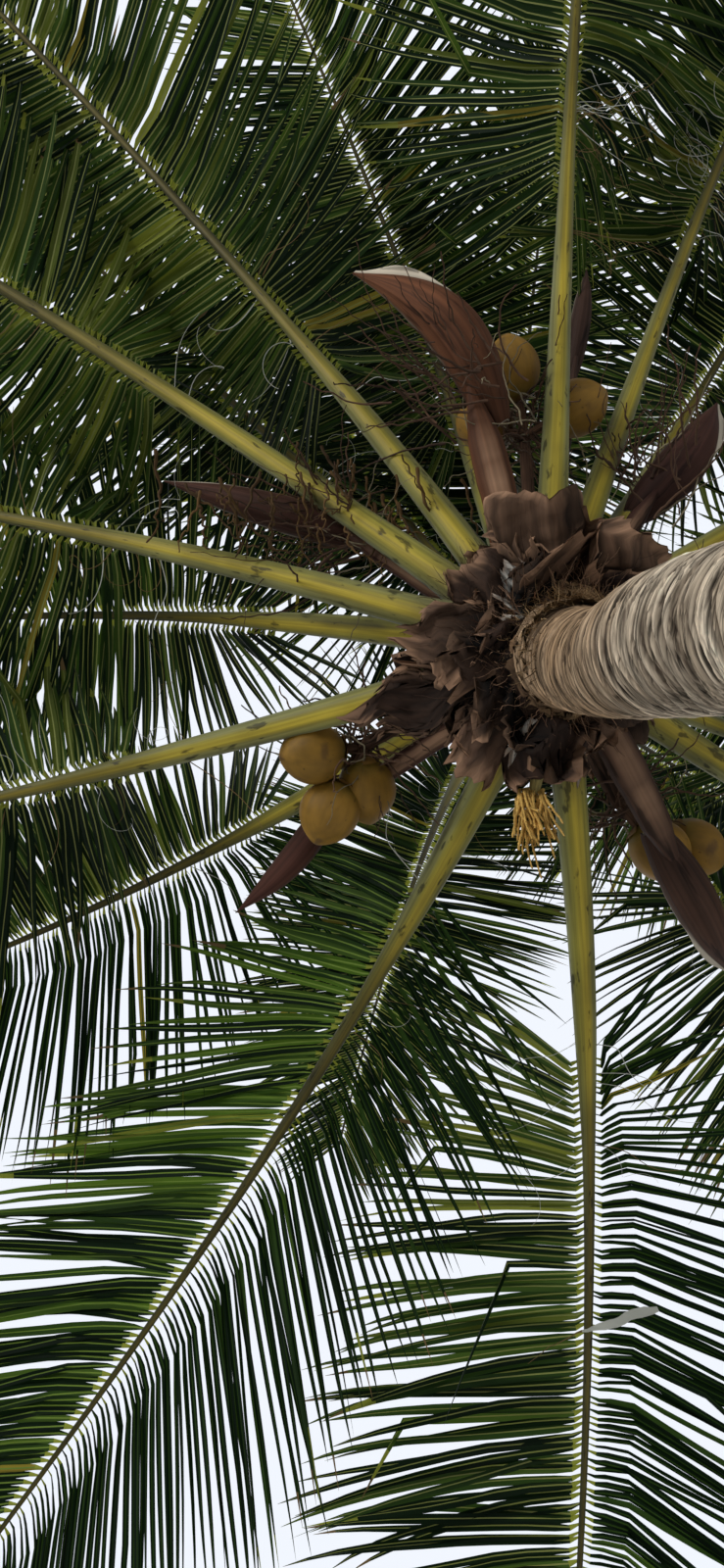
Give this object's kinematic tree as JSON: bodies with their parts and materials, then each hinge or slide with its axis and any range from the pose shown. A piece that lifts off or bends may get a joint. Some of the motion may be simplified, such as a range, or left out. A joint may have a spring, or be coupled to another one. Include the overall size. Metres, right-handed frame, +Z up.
{
  "type": "coconut palm tree",
  "caption": "Young fruiting coconut palm with a leaning ringed trunk, a fibrous crown boss, long feather fronds, woody spathes and bunches of nuts",
  "frame": {"origin": "centre of the flat cut under the trunk", "axes": "+Z up along the plant, +X and +Y level; the trunk leans towards -X"},
  "size_m": [9.4555, 9.6943, 7.8684],
  "materials": {
    "bark": "grey ringed bark with fine fibres and cracks",
    "crown_fibre": "torn brown leaf-base fibre",
    "leaf": "tough feathery leaf, slightly glossy, lets light through",
    "young_leaf": "folded pale young leaf",
    "spathe": "dry grooved woody sheath with a pale lining",
    "husk": "smooth waxy husk",
    "flower": "soft yellow flower strings"
  },
  "bodies": {
    "root": {"trunk": "bark", "crown_boss": "crown_fibre", "spear_leaf": "young_leaf", "spathe_1": "spathe", "spathe_2": "spathe", "spathe_3": "spathe", "spathe_4": "spathe", "spathe_5": "spathe", "spathe_6": "spathe", "coconut_bunch_1": "husk", "coconut_bunch_2": "husk", "coconut_bunch_3": "husk", "coconut_bunch_4": "husk", "inflorescence": "flower", "frond_01_inner": "leaf", "frond_01_outer": "leaf", "frond_02_inner": "leaf", "frond_02_outer": "leaf", "frond_03_inner": "leaf", "frond_03_outer": "leaf", "frond_04_inner": "leaf", "frond_04_outer": "leaf", "frond_05_inner": "leaf", "frond_05_outer": "leaf", "frond_06_inner": "leaf", "frond_06_outer": "leaf", "frond_07_inner": "leaf", "frond_07_outer": "leaf", "frond_08_inner": "leaf", "frond_08_outer": "leaf", "frond_09_inner": "leaf", "frond_09_outer": "leaf", "frond_10_inner": "leaf", "frond_10_outer": "leaf", "frond_11_inner": "leaf", "frond_11_outer": "leaf", "frond_12_inner": "leaf", "frond_12_outer": "leaf", "frond_13_inner": "leaf", "frond_13_outer": "leaf", "frond_14_inner": "leaf", "frond_14_outer": "leaf", "frond_15_inner": "leaf", "frond_15_outer": "leaf", "frond_16_inner": "leaf", "frond_16_outer": "leaf", "frond_17_inner": "leaf", "frond_17_outer": "leaf", "frond_18_inner": "leaf", "frond_18_outer": "leaf", "frond_19_inner": "leaf", "frond_19_outer": "leaf", "frond_20_inner": "leaf", "frond_20_outer": "leaf", "frond_21_inner": "leaf", "frond_21_outer": "leaf", "frond_22_inner": "leaf", "frond_22_outer": "leaf", "frond_23_inner": "leaf", "frond_23_outer": "leaf"}
  },
  "joints": []
}
